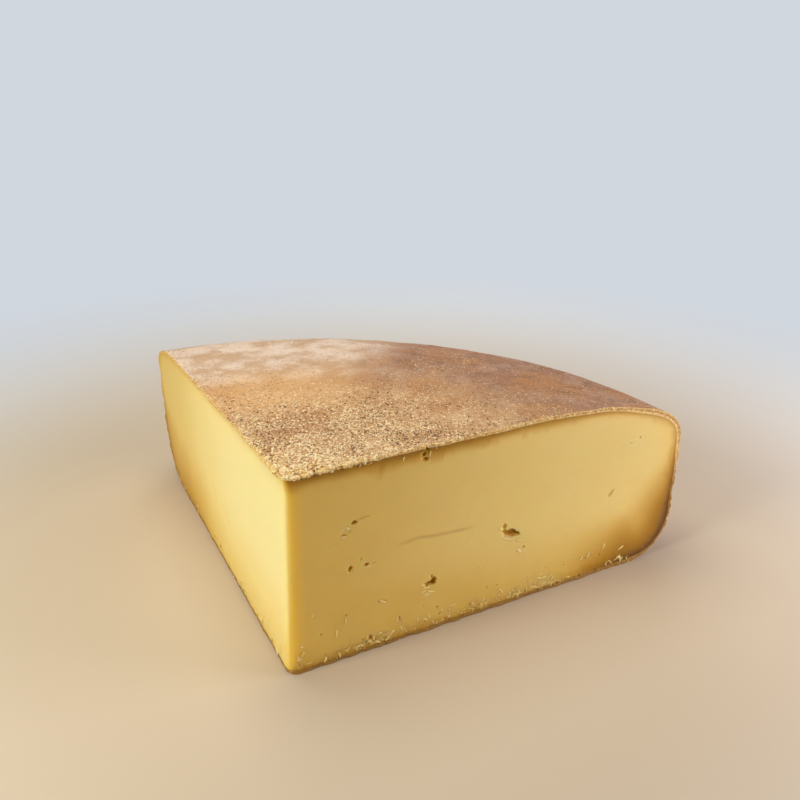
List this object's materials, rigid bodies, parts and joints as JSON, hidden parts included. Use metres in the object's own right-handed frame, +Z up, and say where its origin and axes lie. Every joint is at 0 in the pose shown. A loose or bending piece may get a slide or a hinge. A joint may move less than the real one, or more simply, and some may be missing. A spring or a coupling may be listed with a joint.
{
  "type": "raclette cheese quarter wheel",
  "caption": "Wedge cut square from a round raclette cheese wheel: washed brown rind over the top, rounded rim and base, and flat cut faces of pale paste with small eyes.",
  "frame": {"origin": "under the middle of the bounding box, on the plane that the base rests on", "axes": "+Z up, the upright edge between the cut faces towards -Y, the right cut face towards +X and the rounded rim towards +Y"},
  "size_m": [0.2143, 0.1513, 0.0678],
  "materials": {
    "cheese": "smooth waxy ivory-yellow paste on the cut faces, dry grainy brown rind elsewhere"
  },
  "bodies": {
    "root": {"quarter_wheel": "cheese"}
  },
  "joints": []
}
